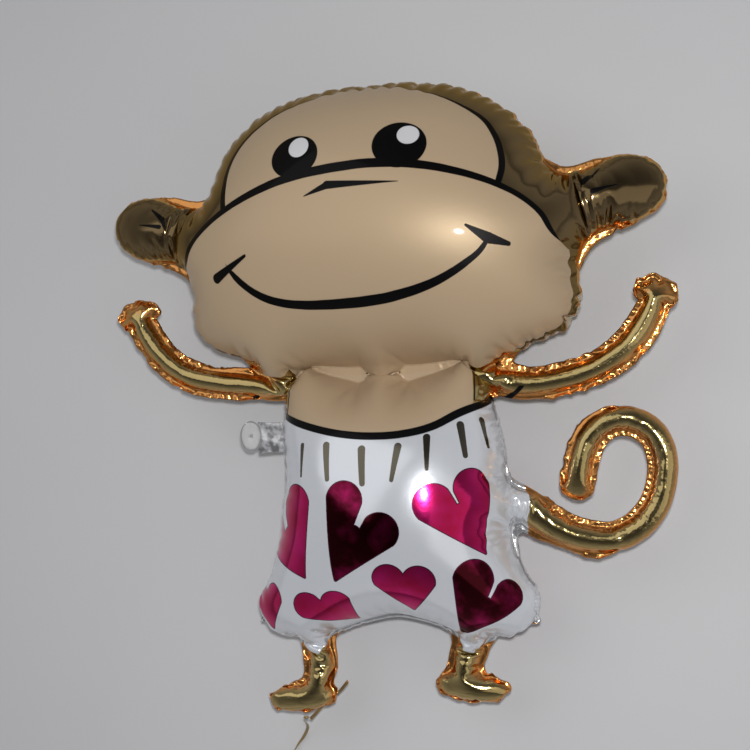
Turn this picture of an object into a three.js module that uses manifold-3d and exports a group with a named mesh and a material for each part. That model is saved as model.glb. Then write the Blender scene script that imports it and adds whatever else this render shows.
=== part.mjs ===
// Inflated foil balloon in the shape of a monkey, lying on its back.
// Millimetres, +Z up. The floor is z = 0, the head points to +Y, the face looks up.
// Each lobe is drawn flat, round the heat-sealed seam, and then the whole balloon
// is laid down so that the back of the head and the seat of the shorts touch the floor.
import * as THREE from 'three';
import { mergeVertices } from 'three/addons/utils/BufferGeometryUtils.js';
import Module from 'manifold-3d';

const wasm = await Module();
wasm.setup();

// ---------- how the balloon lies ----------
const LIE_ANGLE = THREE.MathUtils.degToRad(5.0); // the deep head lifts that end
const SEAM_HEIGHT = 122.6; // seam plane above the floor, where the waist crosses the middle line
const WAIST_AT = [-2.1, -26.8]; // sets the balloon's own box centrally over the origin

// ---------- seam ----------
const FLANGE = 6; // sealed margin outside the inflated lobes
const FLANGE_HALF = 0.7; // half of its thickness

// ---------- head and ears ----------
const HEAD_SHIFT = 3; // the head sits a little to the tail's side
const HEAD_CENTRE = [HEAD_SHIFT, 250];
const HEAD_DEPTH = [163, 150]; // from the seam to the crown of the face, and to the back
const HEAD_EDGE = [ // right half, from the crown down to the chin
  [0, 489], [86, 482], [158, 457], [215, 419], [251, 375], [282, 330], [300, 283],
  [302, 238], [296, 192], [283, 151], [262, 122], [228, 104], [187, 86], [141, 68], [66, 60], [0, 58],
];
const EAR_CENTRES = [[-353, 303], [354, 309]];
const EAR_HALF = [67, 55];
const EAR_DEPTH = [36, 36];
const EAR_TILT = THREE.MathUtils.degToRad(8);

// ---------- chest and shorts ----------
const BODY_SHIFT = 4.5;
const BODY_CENTRE = [BODY_SHIFT, -150];
const BODY_DEPTH = [122, 113];
const BODY_EDGE = [ // right half, from the neck down to the crotch
  [0, 84], [76, 84], [130, 74], [148, 50], [156, 16], [163, -22], [169, -72], [176, -121],
  [181, -168], [190, -215], [200, -262], [212, -300], [184, -306], [152, -316], [114, -320],
  [84, -314], [44, -297], [0, -288],
];
const HIP_SWELL = { by: 10, at: -70, spread: 60 }; // the film bulges out above the tail

// ---------- arms, legs and tail ----------
const ARM_RADIUS = 15.5;
const LEFT_ARM_LINE = [
  [-132, 66], [-164, 60], [-204, 58], [-251, 63], [-297, 74], [-333, 92], [-361, 118], [-380, 149], [-389, 172],
];
const RIGHT_ARM_LINE = [
  [132, 62], [170, 52], [205, 46], [252, 47], [300, 58], [339, 77], [369, 103], [390, 135], [401, 161],
];
const FINGER_RADIUS = 9.5;
const FINGER_REACH = 16; // from the middle of the palm to the middle of a finger
const FINGER_ANGLES = [-72, -24, 24, 72].map(THREE.MathUtils.degToRad);
const LEG_RADIUS = 18;
const LEFT_LEG_LINE = [[-112, -286], [-116, -330], [-119, -372], [-130, -398]];
const RIGHT_LEG_LINE = [[112, -286], [110, -326], [104, -360], [100, -386]];
const FOOT_HALF = [47, 21];
const FOOT_DEPTH = [21, 21];
const LEFT_FOOT = { centre: [-152, -414], tilt: THREE.MathUtils.degToRad(6) };
const RIGHT_FOOT = { centre: [113, -396], tilt: THREE.MathUtils.degToRad(-4) };
const TAIL_RADIUS = 16;
const TAIL_LINE = [
  [174, -116], [208, -132], [239, -158], [284, -179], [330, -183], [370, -163], [397, -124],
  [406, -77], [395, -34], [364, -11], [328, -13], [298, -36], [284, -76], [277, -109],
];

// ---------- fill tail at the left waist ----------
const FILL_NECK = { left: -203, right: -168, bottom: -44, top: 4 };
const FILL_DISC = { centre: [-214, -17], half: [16, 23], hole: 3 };
const FILM_HALF = 0.5;

// ---------- ribbon ----------
const RIBBON_WIDTH = 5;
const KNOT = { at: [-146.5, -444.0, 0], half: [5, 3.6, 4] };
const END_RADIUS = 1; // the short end that sticks out past the heel
const END_LINE = [ // u, v, w
  [-141.5, -447, -5], [-136, -445, -17], [-124, -437, -27], [-108, -424, -26], [-93, -409, -15], [-79, -391, -8],
];
const LEAD_LINE = [ // resting position: x, y, z
  [-149, -448.4, 82.8], [-151.5, -451.5, 72], [-156, -457, 52], [-163, -464.5, 30], [-171, -474, 12.5],
  [-180, -485, 3.8], [-188.5, -495.5, 2.7], [-197, -509, 2.7], [-204, -524, 2.7], [-208, -541, 2.7],
  [-208.9, -558, 3.4],
];
const COIL = { centre: [-173.5, -560], inner: 22.5, outer: 32.5, bottom: 1.2, top: 11.6 };
const TIE = { angle: THREE.MathUtils.degToRad(-70), width: 5, wall: 0.5, gap: 0.35 };

// Lays a flat-drawn shape down in its resting pose.
function layDown(geometry) {
  geometry.rotateX(LIE_ANGLE);
  geometry.translate(0, 0, SEAM_HEIGHT);
  return geometry;
}

// The same move for one point (u right, v towards the head, w towards the face side).
function laidPoint(u, v, w = 0) {
  const point = new THREE.Vector3(u, v, w);
  point.applyAxisAngle(new THREE.Vector3(1, 0, 0), LIE_ANGLE);
  point.z += SEAM_HEIGHT;
  return point;
}

function toSolid(geometry) {
  const bare = geometry.index ? geometry.toNonIndexed() : geometry.clone();
  bare.deleteAttribute('normal');
  bare.deleteAttribute('uv');
  const merged = mergeVertices(bare, 1e-3);
  return new wasm.Manifold(new wasm.Mesh({
    numProp: 3,
    vertProperties: new Float32Array(merged.attributes.position.array),
    triVerts: new Uint32Array(merged.index.array),
  }));
}

function toGeometry(solid) {
  const mesh = solid.getMesh();
  const geometry = new THREE.BufferGeometry();
  geometry.setAttribute('position', new THREE.BufferAttribute(new Float32Array(mesh.vertProperties), 3));
  geometry.setIndex(new THREE.BufferAttribute(new Uint32Array(mesh.triVerts), 1));
  geometry.computeVertexNormals();
  return geometry;
}

function unite(solids) {
  return solids.reduce((whole, next) => whole.add(next));
}

// Mirrors a half outline, drawn from top to bottom, into a closed smooth curve.
function mirroredEdge(half, shift, swell = () => 0) {
  const left = half.map(([x, y]) => new THREE.Vector3(shift - x, y, 0));
  const right = half.slice(1, -1).reverse().map(([x, y]) => new THREE.Vector3(shift + x + swell(y), y, 0));
  return new THREE.CatmullRomCurve3([...left, ...right], true, 'centripetal');
}

function ovalEdge(centre, half, tilt, points = 16) {
  const ring = [];
  for (let i = 0; i < points; i += 1) {
    const angle = (2 * Math.PI * i) / points;
    const x = half[0] * Math.cos(angle);
    const y = half[1] * Math.sin(angle);
    ring.push(new THREE.Vector3(
      centre[0] + x * Math.cos(tilt) - y * Math.sin(tilt),
      centre[1] + x * Math.sin(tilt) + y * Math.cos(tilt),
      0,
    ));
  }
  return new THREE.CatmullRomCurve3(ring, true, 'centripetal');
}

// A pillow: two domes on one seam outline, with the sealed margin round it.
// depth is how far it rises from the seam to the face side and to the back.
function pillow(edge, centre, depth, around, rings) {
  const sphere = new THREE.SphereGeometry(1, around, rings);
  const seam = edge.getSpacedPoints(around);
  const middle = new THREE.Vector3(centre[0], centre[1], 0);
  const place = sphere.attributes.position;
  const perRing = around + 1;
  for (let i = 0; i < place.count; i += 1) {
    const ring = Math.floor(i / perRing);
    const spoke = (i % perRing) % around;
    const out = seam[spoke].clone().sub(middle);
    const side = ring < rings / 2 ? 1 : -1;
    const fromEdge = Math.min(ring, rings - ring);
    const lastRing = (rings - 1) / 2;
    const outward = out.clone().normalize();
    if (fromEdge === lastRing) {
      out.addScaledVector(outward, FLANGE);
      place.setXYZ(i, middle.x + out.x, middle.y + out.y, side * FLANGE_HALF * 0.6);
    } else {
      const angle = (Math.PI / 2) * (fromEdge / (lastRing - 1));
      const reach = Math.sin(angle);
      const deep = side > 0 ? depth[0] : depth[1];
      const rise = side * Math.max(deep * Math.cos(angle) ** 0.92, FLANGE_HALF);
      place.setXYZ(i, middle.x + out.x * reach, middle.y + out.y * reach, rise);
    }
  }
  return toSolid(layDown(sphere));
}

// A limb: a round tube along a line in the seam plane, with a margin on both sides.
function limb(line, radiusAt, steps) {
  const curve = new THREE.CatmullRomCurve3(line.map(([x, y]) => new THREE.Vector3(x, y, 0)), false, 'centripetal');
  const section = [];
  for (const side of [1, -1]) {
    const arc = [14, 50, 90, 130, 166].map(THREE.MathUtils.degToRad);
    const turn = side > 0 ? arc : arc.slice().reverse();
    section.push({ fin: side, rise: side * FLANGE_HALF * 0.6 });
    turn.forEach((angle) => section.push({ angle: side * angle }));
    section.push({ fin: -side, rise: side * FLANGE_HALF * 0.6 });
  }
  const around = section.length;
  const sphere = new THREE.SphereGeometry(1, around, steps);
  const place = sphere.attributes.position;
  for (let i = 0; i < place.count; i += 1) {
    const ring = Math.floor(i / (around + 1));
    const corner = section[(i % (around + 1)) % around];
    const along = ring / steps;
    const point = curve.getPointAt(along);
    const forward = curve.getTangentAt(along);
    const sideways = new THREE.Vector3(forward.y, -forward.x, 0);
    const radius = radiusAt(along);
    const closing = Math.min(1, radius / 4);
    const across = corner.fin ? corner.fin * (radius + FLANGE * closing) : radius * Math.cos(corner.angle);
    const rise = corner.fin ? corner.rise * closing : radius * Math.sin(corner.angle);
    point.addScaledVector(sideways, across);
    place.setXYZ(i, point.x, point.y, rise);
  }
  return toSolid(layDown(sphere));
}

// Radius of a limb that is round at both ends.
function roundEnded(radius, length, flare = 0) {
  return (along) => {
    const fromEnd = (1 - along) * length;
    const fromStart = along * length;
    const nearest = Math.min(fromEnd, fromStart);
    const cap = nearest >= radius ? 1 : Math.sqrt(Math.max(0, 1 - (1 - nearest / radius) ** 2));
    return radius * cap * (1 + flare * Math.exp(-fromStart / (radius * 2)));
  };
}

function lineLength(line) {
  let total = 0;
  for (let i = 1; i < line.length; i += 1) {
    total += Math.hypot(line[i][0] - line[i - 1][0], line[i][1] - line[i - 1][1]);
  }
  return total;
}

// Carries a line on by some length past its last point.
function carriedOn(line, by) {
  const [x1, y1] = line[line.length - 1];
  const [x0, y0] = line[line.length - 2];
  const step = Math.hypot(x1 - x0, y1 - y0);
  return [...line, [x1 + ((x1 - x0) / step) * by, y1 + ((y1 - y0) / step) * by]];
}

function armWithHand(line) {
  const reached = carriedOn(line, ARM_RADIUS);
  const pieces = [limb(reached, roundEnded(ARM_RADIUS, lineLength(reached)), 28)];
  const palm = line[line.length - 1];
  const before = line[line.length - 2];
  const heading = Math.atan2(palm[1] - before[1], palm[0] - before[0]);
  for (const spread of FINGER_ANGLES) {
    const x = palm[0] + FINGER_REACH * Math.cos(heading + spread);
    const y = palm[1] + FINGER_REACH * Math.sin(heading + spread);
    const finger = new THREE.SphereGeometry(FINGER_RADIUS + FLANGE / 2, 8, 6);
    finger.scale(1, 1, 0.7);
    finger.translate(x, y, 0);
    pieces.push(toSolid(layDown(finger)));
  }
  return unite(pieces);
}

function legWithFoot(line, foot) {
  const leg = limb(line, roundEnded(LEG_RADIUS, lineLength(line)), 9);
  const sole = pillow(ovalEdge(foot.centre, FOOT_HALF, foot.tilt), foot.centre, FOOT_DEPTH, 18, 9);
  return leg.add(sole);
}

function foilEnvelope() {
  const head = pillow(mirroredEdge(HEAD_EDGE, HEAD_SHIFT), HEAD_CENTRE, HEAD_DEPTH, 44, 19);
  const hip = (y) => HIP_SWELL.by * Math.exp(-(((y - HIP_SWELL.at) / HIP_SWELL.spread) ** 2));
  const body = pillow(mirroredEdge(BODY_EDGE, BODY_SHIFT, hip), BODY_CENTRE, BODY_DEPTH, 44, 17);
  const lobes = [head, body];
  for (const centre of EAR_CENTRES) {
    const edge = ovalEdge(centre, EAR_HALF, Math.sign(centre[0]) * EAR_TILT);
    lobes.push(pillow(edge, centre, EAR_DEPTH, 20, 11));
  }
  lobes.push(armWithHand(LEFT_ARM_LINE), armWithHand(RIGHT_ARM_LINE));
  lobes.push(legWithFoot(LEFT_LEG_LINE, LEFT_FOOT), legWithFoot(RIGHT_LEG_LINE, RIGHT_FOOT));
  const tail = carriedOn(TAIL_LINE, TAIL_RADIUS);
  lobes.push(limb(tail, roundEnded(TAIL_RADIUS, lineLength(tail), 0.5), 42));
  const whole = unite(lobes);
  const floor = new THREE.BoxGeometry(1400, 1600, 100);
  floor.translate(0, 0, -50);
  return whole.subtract(toSolid(floor));
}

function fillTail() {
  const neck = new THREE.BoxGeometry(
    FILL_NECK.right - FILL_NECK.left,
    FILL_NECK.top - FILL_NECK.bottom,
    2 * FILM_HALF,
  );
  neck.translate((FILL_NECK.left + FILL_NECK.right) / 2, (FILL_NECK.top + FILL_NECK.bottom) / 2, 0);
  const disc = new THREE.CylinderGeometry(1, 1, 2 * FILM_HALF, 28);
  disc.rotateX(Math.PI / 2);
  disc.scale(FILL_DISC.half[0], FILL_DISC.half[1], 1);
  disc.translate(FILL_DISC.centre[0], FILL_DISC.centre[1], 0);
  const hole = new THREE.CylinderGeometry(FILL_DISC.hole, FILL_DISC.hole, 6, 12);
  hole.rotateX(Math.PI / 2);
  hole.translate(FILL_DISC.centre[0], FILL_DISC.centre[1], 0);
  const film = toSolid(layDown(neck)).add(toSolid(layDown(disc)));
  return film.subtract(toSolid(layDown(hole)));
}

function tubeAlong(points, radius, steps, sides) {
  const path = new THREE.CatmullRomCurve3(points, false, 'centripetal');
  const ring = new THREE.Shape();
  ring.absarc(0, 0, radius, 0, 2 * Math.PI);
  const shape = { steps, curveSegments: sides / 2, extrudePath: path, bevelEnabled: false };
  return new THREE.ExtrudeGeometry(ring, shape);
}

function ribbonKnot() {
  const knot = new THREE.SphereGeometry(1, 10, 8);
  knot.scale(...KNOT.half);
  knot.translate(...KNOT.at);
  return layDown(knot);
}

function ribbonEnd() {
  return tubeAlong(END_LINE.map((point) => laidPoint(...point)), END_RADIUS, 14, 6);
}

function ribbonLead() {
  const points = LEAD_LINE.map(([x, y, z]) => new THREE.Vector3(x, y, z));
  return tubeAlong(points, RIBBON_WIDTH / 2, 18, 8);
}

function ribbonCoil() {
  const { inner, outer, bottom, top } = COIL;
  const profile = [[inner, bottom], [outer, bottom], [outer, top], [inner, top], [inner, bottom]];
  const ring = new THREE.LatheGeometry(profile.map(([x, y]) => new THREE.Vector2(x, y)), 40);
  ring.rotateX(Math.PI / 2);
  ring.translate(COIL.centre[0], COIL.centre[1], 0);
  return ring;
}

// A narrow band round the turns of the coil.
function coilTie() {
  const half = [(COIL.outer - COIL.inner) / 2 + TIE.gap, (COIL.top - COIL.bottom) / 2 + TIE.gap];
  const band = new THREE.Shape();
  band.moveTo(-half[0] - TIE.wall, -half[1] - TIE.wall);
  band.lineTo(half[0] + TIE.wall, -half[1] - TIE.wall);
  band.lineTo(half[0] + TIE.wall, half[1] + TIE.wall);
  band.lineTo(-half[0] - TIE.wall, half[1] + TIE.wall);
  band.closePath();
  const window = new THREE.Path();
  window.moveTo(-half[0], -half[1]);
  window.lineTo(-half[0], half[1]);
  window.lineTo(half[0], half[1]);
  window.lineTo(half[0], -half[1]);
  window.closePath();
  band.holes.push(window);
  const tie = new THREE.ExtrudeGeometry(band, { depth: TIE.width, bevelEnabled: false });
  tie.translate(0, 0, -TIE.width / 2);
  tie.rotateX(Math.PI / 2);
  tie.translate((COIL.outer + COIL.inner) / 2, 0, (COIL.top + COIL.bottom) / 2);
  tie.rotateZ(TIE.angle);
  tie.translate(COIL.centre[0], COIL.centre[1], 0);
  return tie;
}

const gold = new THREE.MeshStandardMaterial({ color: 0xb8964c, roughness: 0.16, metalness: 0.95 });
const clear = new THREE.MeshStandardMaterial({ color: 0xd9dbdf, roughness: 0.12, metalness: 0.05 });
const ribbonGold = new THREE.MeshStandardMaterial({ color: 0x8c7443, roughness: 0.35, metalness: 0.4 });

const monkey = new THREE.Group();
monkey.position.set(WAIST_AT[0], WAIST_AT[1], 0);

function addMesh(name, geometry, material) {
  const mesh = new THREE.Mesh(geometry, material);
  mesh.name = name;
  monkey.add(mesh);
  return mesh;
}

addMesh('foil_envelope', toGeometry(foilEnvelope()), gold);
addMesh('fill_tail', toGeometry(fillTail()), clear);
addMesh('ribbon_knot', ribbonKnot(), ribbonGold.clone());
addMesh('ribbon_end', ribbonEnd(), ribbonGold.clone());
addMesh('ribbon_lead', ribbonLead(), ribbonGold.clone());
addMesh('ribbon_coil', ribbonCoil(), ribbonGold.clone());
addMesh('coil_tie', coilTie(), new THREE.MeshStandardMaterial({ color: 0xe6e6e2, roughness: 0.5, metalness: 0 }));

export default monkey;
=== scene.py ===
import math

import bpy
import numpy as np
from mathutils import Matrix, Vector
from mathutils.geometry import delaunay_2d_cdt


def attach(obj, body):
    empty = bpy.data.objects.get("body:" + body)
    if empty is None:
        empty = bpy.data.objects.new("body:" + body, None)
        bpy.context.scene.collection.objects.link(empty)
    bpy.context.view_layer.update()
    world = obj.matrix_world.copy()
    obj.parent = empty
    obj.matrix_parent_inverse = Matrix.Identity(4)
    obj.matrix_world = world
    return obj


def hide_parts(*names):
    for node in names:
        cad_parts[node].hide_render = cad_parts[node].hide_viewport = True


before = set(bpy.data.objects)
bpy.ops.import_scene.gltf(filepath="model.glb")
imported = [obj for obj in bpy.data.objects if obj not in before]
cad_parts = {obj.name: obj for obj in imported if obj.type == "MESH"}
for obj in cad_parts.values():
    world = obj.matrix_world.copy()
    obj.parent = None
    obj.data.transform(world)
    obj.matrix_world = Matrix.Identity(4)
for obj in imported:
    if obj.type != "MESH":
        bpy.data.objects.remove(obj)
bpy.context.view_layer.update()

# The balloon is drawn flat on its seam plane: u to the tail's side, v to the head,
# w to the face. It is then laid down on the back of its head and the seat of its shorts.

# ---- how the balloon lies ----
LIE_ANGLE = math.radians(5.0)
SEAM_HEIGHT = 0.1226
WAIST_AT = (-0.0021, -0.0268)


def lay_down(p):
    """Points drawn on the seam plane, in their resting place."""
    p = np.atleast_2d(np.array(p, float))
    c, s = math.cos(LIE_ANGLE), math.sin(LIE_ANGLE)
    y, z = p[:, 1], p[:, 2]
    return np.column_stack([
        p[:, 0] + WAIST_AT[0], y * c - z * s + WAIST_AT[1], y * s + z * c + SEAM_HEIGHT])


# ---- camera ----
VIEW_TURN = math.radians(16.0)   # from straight above the face, round to the tail's side
VIEW_ROLL = math.radians(2.6)
VIEW_DISTANCE = 2.2
VIEW_WIDTH = 1.11                # how much of the seam plane is in view
AIM = (-0.0134, 0.0673, 0.0039)


def make_camera():
    c, s = math.cos(LIE_ANGLE), math.sin(LIE_ANGLE)
    lie = Matrix(((1, 0, 0), (0, c, -s), (0, s, c)))
    turn = (math.cos(VIEW_TURN), math.sin(VIEW_TURN))
    roll = (math.cos(VIEW_ROLL), math.sin(VIEW_ROLL))
    across = lie @ Vector((turn[0], 0, -turn[1]))
    up = lie @ Vector((0, 1, 0))
    toward = lie @ Vector((turn[1], 0, turn[0]))
    right = across * roll[0] - up * roll[1]
    top = across * roll[1] + up * roll[0]
    place = Vector(lay_down(AIM)[0]) + toward * VIEW_DISTANCE
    lens = bpy.data.cameras.new("Camera")
    lens.sensor_width = 36
    lens.lens = 36 * VIEW_DISTANCE / VIEW_WIDTH
    camera = bpy.data.objects.new("Camera", lens)
    bpy.context.scene.collection.objects.link(camera)
    spin = Matrix((right, top, toward)).transposed().to_4x4()
    camera.matrix_world = Matrix.Translation(place) @ spin
    bpy.context.scene.camera = camera
    return camera, place


camera, eye_at = make_camera()


# ---- general helpers ----
def smooth_line(points, per_span=10, closed=False):
    """Smooth curve through points in two or three directions."""
    pts = np.array(points, float)
    n = len(pts)
    out = []
    spans = n if closed else n - 1
    for i in range(spans):
        if closed:
            p0, p1, p2, p3 = pts[(i - 1) % n], pts[i], pts[(i + 1) % n], pts[(i + 2) % n]
        else:
            p1, p2 = pts[i], pts[i + 1]
            p0 = pts[i - 1] if i else 2 * p1 - p2
            p3 = pts[i + 2] if i + 2 < n else 2 * p2 - p1
        for t in np.arange(per_span) / per_span:
            even = (p2 - p0) * t + (2 * p0 - 5 * p1 + 4 * p2 - p3) * t * t
            out.append(0.5 * (2 * p1 + even + (3 * p1 - p0 - 3 * p2 + p3) * t ** 3))
    if not closed:
        out.append(pts[-1])
    return np.array(out)


def evenly(line, gap):
    """The same line with evenly spaced points."""
    step = np.sqrt((np.diff(line, axis=0) ** 2).sum(1))
    run = np.concatenate([[0], np.cumsum(step)])
    s = np.linspace(0, run[-1], max(2, int(round(run[-1] / gap)) + 1))
    return np.column_stack([np.interp(s, run, line[:, k]) for k in range(line.shape[1])])


def line_length(line):
    return float(np.sqrt((np.diff(line, axis=0) ** 2).sum(1)).sum())


def add_object(name, points, faces, smooth=True):
    mesh = bpy.data.meshes.new(name)
    mesh.from_pydata([tuple(p) for p in points], [], [tuple(f) for f in faces])
    mesh.update()
    for face in mesh.polygons:
        face.use_smooth = smooth
    piece = bpy.data.objects.new(name, mesh)
    bpy.context.scene.collection.objects.link(piece)
    return piece


# ---- curling ribbon ----
RIBBON_WIDTH = 0.005
RIBBON_THICK = 0.0003
KNOT_AT = (-0.1465, -0.4435, 0.0)
LEAD_LINE = [
    (-0.149, -0.4484, 0.0828), (-0.1515, -0.4515, 0.072), (-0.156, -0.457, 0.052), (-0.163, -0.4645, 0.030),
    (-0.171, -0.474, 0.0125), (-0.180, -0.485, 0.0038), (-0.1885, -0.4955, 0.0027), (-0.197, -0.509, 0.0027),
    (-0.204, -0.524, 0.0027), (-0.208, -0.541, 0.0027),
]
COIL_CENTRE = (-0.1735, -0.560)
COIL_INNER = 0.0240
COIL_OUTER = 0.0312
COIL_TURNS = 3.8                 # in each of its two layers
COIL_LAYERS = (0.0038, 0.0090)   # heights of their middles
SHORT_END_LINE = [
    (-0.1415, -0.4468, -0.005), (-0.1385, -0.4425, -0.0185), (-0.1270, -0.4300, -0.0300),
    (-0.1110, -0.4180, -0.0290), (-0.0960, -0.4055, -0.0170), (-0.0805, -0.3895, -0.008),
]


def on_row(points):
    """Resting places given from the waist, in the row frame."""
    return np.array(points, float) + [WAIST_AT[0], WAIST_AT[1], 0]


def coil_line():
    """Winds in along the lower layer and out again along the upper one."""
    line = []
    steps = 48
    start = math.pi
    for layer in (0, 1):
        count = int(COIL_TURNS * steps)
        for k in range(count + 1):
            share = k / count
            inward = share if layer == 0 else 1 - share
            radius = COIL_OUTER + (COIL_INNER - COIL_OUTER) * inward
            angle = start + 2 * math.pi * k / steps
            height = COIL_LAYERS[layer]
            if layer == 1:
                climb = min(1, k / (steps * 0.6))
                climb = climb * climb * (3 - 2 * climb)
                height = COIL_LAYERS[0] + (COIL_LAYERS[1] - COIL_LAYERS[0]) * climb
            x = COIL_CENTRE[0] + radius * math.cos(angle)
            y = COIL_CENTRE[1] + radius * math.sin(angle)
            line.append((x, y, height))
        start = angle
    return np.array(line)


def ribbon_mesh(name, line, flat_way, curl=0.0):
    """A flat ribbon swept along a line. flat_way(share) is the way its width points."""
    line = np.array(line)
    n = len(line)
    forward = np.gradient(line, axis=0)
    forward /= np.sqrt((forward ** 2).sum(1))[:, None]
    points = []
    cross = [-1, -0.5, 0, 0.5, 1]
    for i in range(n):
        wide = np.array(flat_way(i / (n - 1)), float)
        wide -= forward[i] * (wide @ forward[i])
        wide /= math.sqrt(wide @ wide)
        thick = np.cross(forward[i], wide)
        for side in (1, -1):
            for c in (cross if side > 0 else cross[::-1]):
                bow = curl * (1 - c * c)
                at = line[i] + wide * c * RIBBON_WIDTH / 2
                points.append(at + thick * (side * RIBBON_THICK / 2 + bow))
    ring = 2 * len(cross)
    faces = []
    for i in range(n - 1):
        for k in range(ring):
            a, b = i * ring + k, i * ring + (k + 1) % ring
            faces.append((a, a + ring, b + ring, b))
    faces.append(tuple(range(ring)))
    faces.append(tuple(range((n - 1) * ring, n * ring))[::-1])
    return add_object(name, points, faces)


lead = smooth_line(LEAD_LINE, 12)
ribbon_line = on_row(evenly(np.vstack([lead, coil_line()[1:]]), 0.0022))
lead_share = line_length(lead) / line_length(ribbon_line)


def long_ribbon_way(share):
    """Flat side up where it leaves the knot, on its edge where it is wound."""
    t = min(1, max(0, share / lead_share - 0.45) / 0.5)
    t = t * t * (3 - 2 * t)
    return (1 - t) * np.array([0.93, -0.3, 0.2]) + t * np.array([0, 0, 1.0])


def short_end_way(share):
    """Its width lies nearly level, so its flat side shows from above."""
    return np.array([0.6, -0.7, 0.25])


long_ribbon = ribbon_mesh("long_ribbon", ribbon_line, long_ribbon_way)
short_line = evenly(lay_down(smooth_line(SHORT_END_LINE, 10)), 0.0025)
short_end = ribbon_mesh("short_ribbon_end", short_line, short_end_way, 0.0006)


def make_knot():
    """Two wrapped turns and a crossed loop, pulled tight."""
    place = Vector(lay_down(KNOT_AT)[0])
    parts = []
    wraps = ((0, 0.0030, 0.0013, 20), (1, 0.0029, 0.0012, 75), (2, 0.0026, 0.0013, 130))
    for turn, ring, tube, tilt in wraps:
        bpy.ops.object.select_all(action="DESELECT")
        bpy.ops.mesh.primitive_torus_add(
            major_radius=ring, minor_radius=tube, major_segments=28, minor_segments=10,
            location=place, rotation=(math.radians(62 + 14 * turn), math.radians(tilt), 0))
        parts.append(bpy.context.object)
    bpy.ops.object.select_all(action="DESELECT")
    for part in parts:
        part.select_set(True)
    bpy.context.view_layer.objects.active = parts[0]
    bpy.ops.object.join()
    knot = bpy.context.object
    knot.name = "ribbon_knot_turns"
    bpy.ops.object.transform_apply(location=True, rotation=True, scale=True)
    bpy.ops.object.shade_smooth()
    return knot


knot = make_knot()
for piece, node in ((long_ribbon, ("ribbon_lead", "ribbon_coil")), (short_end, ("ribbon_end",)),
                    (knot, ("ribbon_knot",))):
    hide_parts(*node)
    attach(piece, "root")


# ---------- foil envelope ----------
FLANGE = 0.006                   # sealed margin outside the inflated lobes
HEAD_EDGE = [
    (0.000, 0.510), (0.090, 0.503), (0.164, 0.478), (0.222, 0.436), (0.258, 0.388), (0.280, 0.338),
    (0.296, 0.286), (0.301, 0.238), (0.298, 0.194), (0.287, 0.152), (0.261, 0.121), (0.226, 0.101),
    (0.186, 0.083), (0.132, 0.068), (0.060, 0.060), (0.000, 0.058),
]
BODY_EDGE = [
    (0.000, 0.084), (0.070, 0.080), (0.130, 0.074), (0.148, 0.052), (0.158, 0.014), (0.169, -0.030),
    (0.175, -0.078), (0.182, -0.122), (0.189, -0.166), (0.198, -0.212), (0.210, -0.258), (0.222, -0.303),
    (0.188, -0.313), (0.150, -0.322), (0.112, -0.327), (0.078, -0.326), (0.040, -0.321), (0.000, -0.317),
]
HEAD_SHIFT = 0.003
BODY_SHIFT = 0.0045
EARS = (((-0.344, 0.302), -8), ((0.345, 0.308), 8))
EAR_HALF = (0.067, 0.053)
ARM_RADIUS = 0.0150
LEFT_ARM_LINE = [
    (-0.128, 0.066), (-0.165, 0.062), (-0.205, 0.059), (-0.252, 0.062), (-0.298, 0.073), (-0.334, 0.092),
    (-0.362, 0.118), (-0.381, 0.148), (-0.389, 0.171),
]
RIGHT_ARM_LINE = [
    (0.128, 0.060), (0.165, 0.051), (0.205, 0.046), (0.252, 0.048), (0.300, 0.058), (0.339, 0.077),
    (0.369, 0.103), (0.390, 0.134), (0.400, 0.160),
]
FINGER_RADIUS = 0.0095
FINGER_REACH = 0.016
FINGER_ANGLES = (-72, -24, 24, 72)
LEG_RADIUS = 0.018
LEFT_LEG_LINE = [(-0.112, -0.286), (-0.115, -0.330), (-0.120, -0.372), (-0.132, -0.398)]
RIGHT_LEG_LINE = [(0.110, -0.286), (0.109, -0.326), (0.104, -0.362), (0.102, -0.388)]
FOOT_HALF = (0.047, 0.021)
LEFT_FOOT = ((-0.152, -0.412), 6)
RIGHT_FOOT = ((0.113, -0.396), -4)
TAIL_RADIUS = 0.0158
TAIL_LINE = [
    (0.170, -0.118), (0.206, -0.134), (0.242, -0.158), (0.286, -0.180), (0.331, -0.185), (0.371, -0.163),
    (0.398, -0.123), (0.407, -0.076), (0.395, -0.033), (0.363, -0.010), (0.327, -0.012), (0.298, -0.036),
    (0.284, -0.076), (0.278, -0.108),
]
HIP_SWELL = (0.010, -0.070, 0.060)
NECK_WELD = ((0.036, 0.062), (0.113, 0.069), 0.009, 0.002)
HEAD_STRETCH = (1.19, 1.26)   # flat size over inflated size, across and up
BODY_STRETCH = (1.22, 1.20)
EAR_STRETCH = (1.25, 1.30)
FOOT_STRETCH = (1.25, 1.35)
HEAD_RISE = (0.205, 0.142)    # half width and height of each lobe before it is filled
BODY_RISE = (0.185, 0.108)
EAR_RISE = (0.057, 0.034)
FOOT_RISE = (0.021, 0.021)
LIMB_ACROSS = 1.55
LIMB_ALONG = 1.01
LIMB_SEAM = 0.06
FILM_GAP = 0.00015               # half the film's thickness where two sheets are sealed
FIRST_GAP = 0.0105               # spacing of the coarsest points
FLOOR_GAP = 0.0002               # the film rests this far above the floor
ROUNDS = (700, 300, 200)         # steps of filling, by level of fineness
PUSH = 0.008                     # pressure
SLIDE = 0.9                      # speed kept from one step to the next
GIVE = (0.0, 0.004, 0.05)        # how well the film resists being squeezed, by level
BEND = (0.0, 0.01, 0.05)         # how well it keeps from folding, by level
EASE = (0.0015, 0.0, 0.0)        # how fast uneven points are evened out, by level

# Kinds of point on a sheet
INSIDE, SEAM, RIM, WELD_EDGE, WELD, MARGIN = range(6)


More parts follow.
